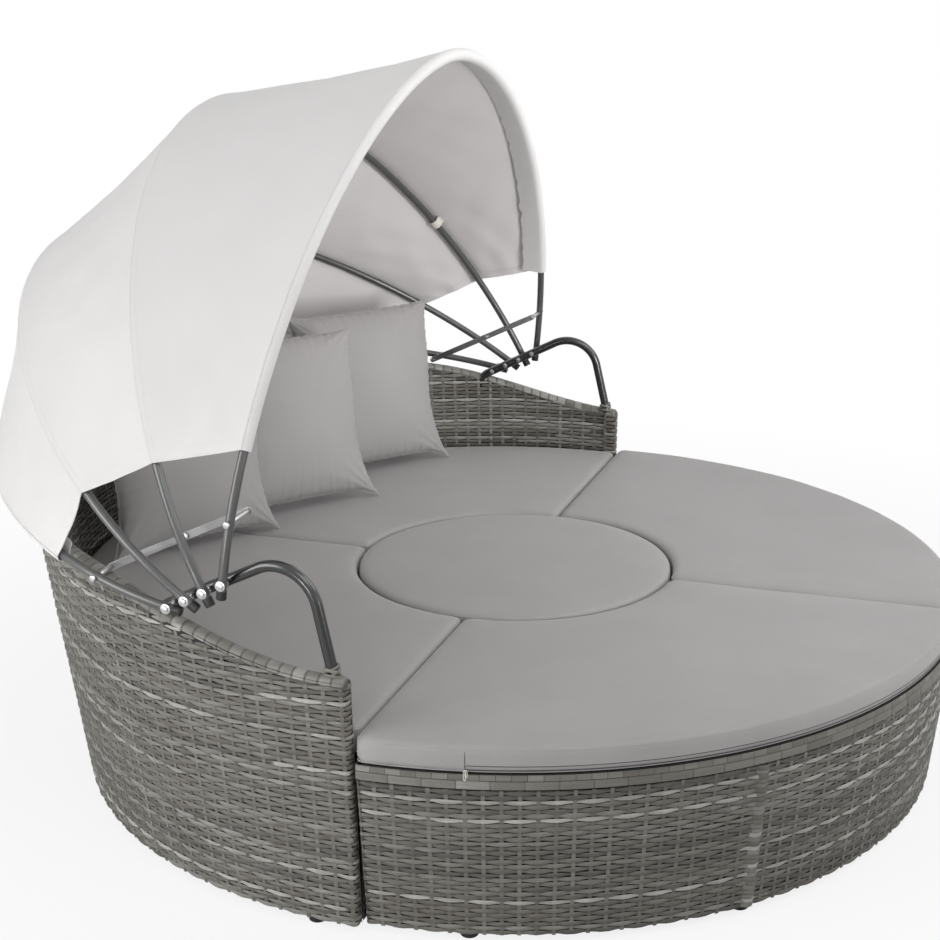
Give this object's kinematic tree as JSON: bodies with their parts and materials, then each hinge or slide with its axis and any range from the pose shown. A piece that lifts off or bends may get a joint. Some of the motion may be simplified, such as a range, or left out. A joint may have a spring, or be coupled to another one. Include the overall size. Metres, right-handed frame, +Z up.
{
  "type": "outdoor daybed with folding canopy",
  "caption": "Round woven outdoor daybed of quarter stools, round stool and half-round sofa with seat cushions, pillows and a folding fabric canopy on hinged bows.",
  "frame": {"origin": "on the floor, under the middle of the daybed's length and width", "axes": "+Z up, +Y towards the back of the sofa, -Y the way a sitter faces, -X the left arm as seen from the front"},
  "size_m": [1.8298, 1.954, 1.4182],
  "materials": {
    "wicker": "flat woven strips of mixed greys",
    "wrapped_rail": "rail wrapped in flat strips",
    "deck": "woven panel under the cushion",
    "cushion_fabric": "plain woven, light grey",
    "cover_fabric": "plain woven, very light grey",
    "tube": "dark grey, satin",
    "bolt": "bright zinc",
    "stay": "flat bar, satin",
    "webbing": "cream webbing"
  },
  "bodies": {
    "daybed": {"front_left_skirt": "wicker", "front_right_skirt": "wicker", "stool_skirt": "wicker", "back_wall": "wicker", "back_apron": "wicker", "front_left_rail": "wrapped_rail", "front_right_rail": "wrapped_rail", "stool_rail": "wrapped_rail", "front_left_deck": "deck", "front_right_deck": "deck", "stool_deck": "deck", "back_deck": "deck", "front_left_cushion": "cushion_fabric", "front_right_cushion": "cushion_fabric", "stool_cushion": "cushion_fabric", "back_left_cushion": "cushion_fabric", "back_right_cushion": "cushion_fabric", "pillow_left": "cushion_fabric", "pillow_middle": "cushion_fabric", "pillow_right": "cushion_fabric", "cover_rear_pocket": "cover_fabric", "arm_tube_left": "tube", "arm_tube_right": "tube", "bow_base": "tube", "bow_front_bolt_left": "bolt", "bow_front_bolt_right": "bolt", "bow_middle_bolt_left": "bolt", "bow_middle_bolt_right": "bolt", "bow_rear_bolt_left": "bolt", "bow_rear_bolt_right": "bolt", "bow_base_bolt_left": "bolt", "bow_base_bolt_right": "bolt", "stay_bolt_rear_left": "bolt", "stay_bolt_rear_right": "bolt", "back_bolt_left": "bolt", "back_bolt_right": "bolt"},
    "front_bow": {"bow_front": "tube", "cover_front_panel": "cover_fabric", "cover_front_pocket": "cover_fabric", "stay_bolt_front_left": "bolt", "stay_bolt_front_right": "bolt"},
    "middle_bow": {"bow_middle": "tube", "cover_middle_panel": "cover_fabric", "cover_strap_left": "webbing", "cover_strap_right": "webbing"},
    "rear_bow": {"bow_rear": "tube", "cover_rear_panel": "cover_fabric"},
    "front_stay_left": {"stay_front_left": "stay"},
    "front_stay_right": {"stay_front_right": "stay"},
    "rear_stay_left": {"stay_rear_left": "stay"},
    "rear_stay_right": {"stay_rear_right": "stay"}
  },
  "joints": [
    {"name": "canopy_fold", "type": "hinge", "parent": "daybed", "child": "front_bow", "pos_m": [0, 0.14803, 0.61445], "axis": [-1, 0, 0], "range_deg": [0, 84], "deforming": ["cover_front_panel"]},
    {"name": "middle_bow_hinge", "type": "hinge", "parent": "daybed", "child": "middle_bow", "pos_m": [0, 0.18202, 0.59745], "axis": [-1, 0, 0], "range_deg": [0, 50.7], "deforming": ["cover_middle_panel"]},
    {"name": "rear_bow_hinge", "type": "hinge", "parent": "daybed", "child": "rear_bow", "pos_m": [0, 0.21601, 0.58046], "axis": [-1, 0, 0], "range_deg": [0, 23.1], "deforming": ["cover_rear_panel"]},
    {"name": "front_stay_left_hinge", "type": "hinge", "parent": "front_bow", "child": "front_stay_left", "pos_m": [-0.826, 0.13572, 0.71772], "axis": [1, 0, 0], "range_deg": [0, 160.5]},
    {"name": "rear_stay_left_hinge", "type": "hinge", "parent": "daybed", "child": "rear_stay_left", "pos_m": [-0.826, 0.39724, 0.59209], "axis": [-1, 0, 0], "range_deg": [0, 40.3]},
    {"name": "front_stay_right_hinge", "type": "hinge", "parent": "front_bow", "child": "front_stay_right", "pos_m": [0.826, 0.13572, 0.71772], "axis": [1, 0, 0], "range_deg": [0, 160.5]},
    {"name": "rear_stay_right_hinge", "type": "hinge", "parent": "daybed", "child": "rear_stay_right", "pos_m": [0.826, 0.39724, 0.59209], "axis": [-1, 0, 0], "range_deg": [0, 40.3]}
  ],
  "couplings": [
    {"joint": "middle_bow_hinge", "follows": "canopy_fold", "ratio": 0.60357},
    {"joint": "rear_bow_hinge", "follows": "canopy_fold", "ratio": 0.275},
    {"joint": "front_stay_left_hinge", "follows": "canopy_fold", "ratio": 1.9098},
    {"joint": "rear_stay_left_hinge", "follows": "canopy_fold", "ratio": 0.47823},
    {"joint": "front_stay_right_hinge", "follows": "canopy_fold", "ratio": 1.9098},
    {"joint": "rear_stay_right_hinge", "follows": "canopy_fold", "ratio": 0.47823}
  ]
}
